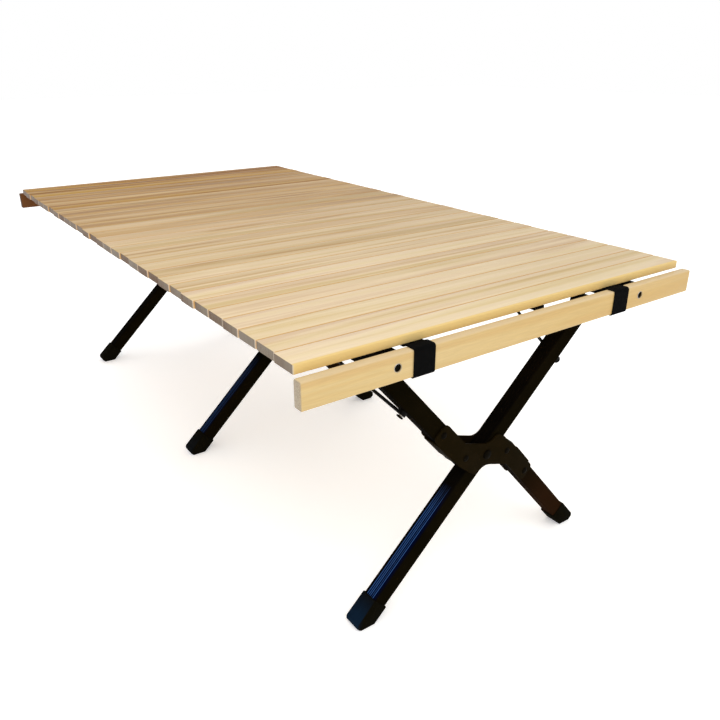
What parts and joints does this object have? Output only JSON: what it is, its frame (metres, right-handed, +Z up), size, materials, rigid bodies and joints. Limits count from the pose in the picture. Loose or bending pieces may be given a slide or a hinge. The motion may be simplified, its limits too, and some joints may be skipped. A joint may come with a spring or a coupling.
{
  "type": "camping table",
  "caption": "Low folding camping table: roll-top wooden slats on webbing straps, carried by black grooved scissor legs with rubber feet between two side rails.",
  "frame": {"origin": "On the floor under the middle of the table: centre of the bounding box in X and Y, Z = 0 at the soles of the feet.", "axes": "+X along the table's length towards the near end of the picture, Y across its width with the long edge that faces the viewer at -Y, +Z up."},
  "size_m": [1.1398, 0.607, 0.4],
  "materials": {
    "slat_wood": "pale smooth-sanded softwood, colour varying from slat to slat, clear matt finish",
    "rail_wood": "warm yellow solid wood with rounded edges, clear satin finish",
    "webbing": "black woven polypropylene webbing, matt",
    "tube_aluminium": "black anodised extrusion with fine lengthwise grooves, satin",
    "plate_steel": "black powder-coated sheet steel, satin",
    "rod_steel": "black coated steel rod, semi-gloss",
    "foot_rubber": "black moulded rubber, matt"
  },
  "bodies": {
    "left_rail": {"side_rail_left": "tube_aluminium"},
    "front_link_near": {"front_arm_upper_near": "tube_aluminium", "front_arm_lower_near": "tube_aluminium", "hub_yoke_near": "plate_steel", "foot_front_near": "foot_rubber", "brace_rod_left_near": "rod_steel"},
    "cross_link_near": {"cross_arm_near": "tube_aluminium", "foot_cross_near": "foot_rubber", "brace_rod_right_near": "rod_steel"},
    "front_link_mid": {"front_arm_upper_mid": "tube_aluminium", "front_arm_lower_mid": "tube_aluminium", "hub_yoke_mid": "plate_steel", "foot_front_mid": "foot_rubber"},
    "cross_link_mid": {"cross_arm_mid": "tube_aluminium", "foot_cross_mid": "foot_rubber"},
    "front_link_far": {"front_arm_upper_far": "tube_aluminium", "front_arm_lower_far": "tube_aluminium", "hub_yoke_far": "plate_steel", "foot_front_far": "foot_rubber", "brace_rod_left_far": "rod_steel"},
    "cross_link_far": {"cross_arm_far": "tube_aluminium", "foot_cross_far": "foot_rubber", "brace_rod_right_far": "rod_steel"},
    "right_rail": {"side_rail_right": "tube_aluminium"},
    "slatted_top": {"slat_01": "slat_wood", "slat_02": "slat_wood", "slat_03": "slat_wood", "slat_04": "slat_wood", "slat_05": "slat_wood", "slat_06": "slat_wood", "slat_07": "slat_wood", "slat_08": "slat_wood", "slat_09": "slat_wood", "slat_10": "slat_wood", "slat_11": "slat_wood", "slat_12": "slat_wood", "slat_13": "slat_wood", "slat_14": "slat_wood", "slat_15": "slat_wood", "slat_16": "slat_wood", "slat_17": "slat_wood", "slat_18": "slat_wood", "slat_19": "slat_wood", "slat_20": "slat_wood", "slat_21": "slat_wood", "slat_22": "slat_wood", "slat_23": "slat_wood", "slat_24": "slat_wood", "slat_25": "slat_wood", "slat_26": "slat_wood", "slat_27": "slat_wood", "slat_28": "slat_wood", "slat_29": "slat_wood", "slat_30": "slat_wood", "strap_left": "webbing", "strap_right": "webbing", "end_rail_near": "rail_wood", "end_rail_far": "rail_wood"}
  },
  "joints": [
    {"name": "frame_fold", "type": "hinge", "parent": "left_rail", "child": "front_link_mid", "pos_m": [-0.0115, -0.1765, 0.3528], "axis": [-1, 0, 0], "range_deg": [0, 43]},
    {"name": "front_fold_near", "type": "hinge", "parent": "left_rail", "child": "front_link_near", "pos_m": [0.4995, -0.1765, 0.3528], "axis": [-1, 0, 0], "range_deg": [0, 43]},
    {"name": "front_fold_far", "type": "hinge", "parent": "left_rail", "child": "front_link_far", "pos_m": [-0.5225, -0.1765, 0.3528], "axis": [-1, 0, 0], "range_deg": [0, 43]},
    {"name": "hub_turn_near", "type": "hinge", "parent": "front_link_near", "child": "cross_link_near", "pos_m": [0.4995, 0, 0.18501], "axis": [1, 0, 0], "range_deg": [0, 86]},
    {"name": "hub_turn_mid", "type": "hinge", "parent": "front_link_mid", "child": "cross_link_mid", "pos_m": [-0.0115, 0, 0.18501], "axis": [1, 0, 0], "range_deg": [0, 86]},
    {"name": "hub_turn_far", "type": "hinge", "parent": "front_link_far", "child": "cross_link_far", "pos_m": [-0.5225, 0, 0.18501], "axis": [1, 0, 0], "range_deg": [0, 86]},
    {"name": "right_rail_turn", "type": "hinge", "parent": "cross_link_mid", "child": "right_rail", "pos_m": [-0.0115, 0.1765, 0.3528], "axis": [-1, 0, 0], "range_deg": [0, 43]},
    {"name": "top_lift", "type": "slide", "parent": "left_rail", "child": "slatted_top", "axis": [0, 0, 1], "range_m": [0, 0.25]}
  ],
  "couplings": [
    {"joint": "front_fold_near", "follows": "frame_fold", "ratio": 1},
    {"joint": "front_fold_far", "follows": "frame_fold", "ratio": 1},
    {"joint": "hub_turn_near", "follows": "frame_fold", "ratio": 2},
    {"joint": "hub_turn_mid", "follows": "frame_fold", "ratio": 2},
    {"joint": "hub_turn_far", "follows": "frame_fold", "ratio": 2},
    {"joint": "right_rail_turn", "follows": "frame_fold", "ratio": 1}
  ]
}
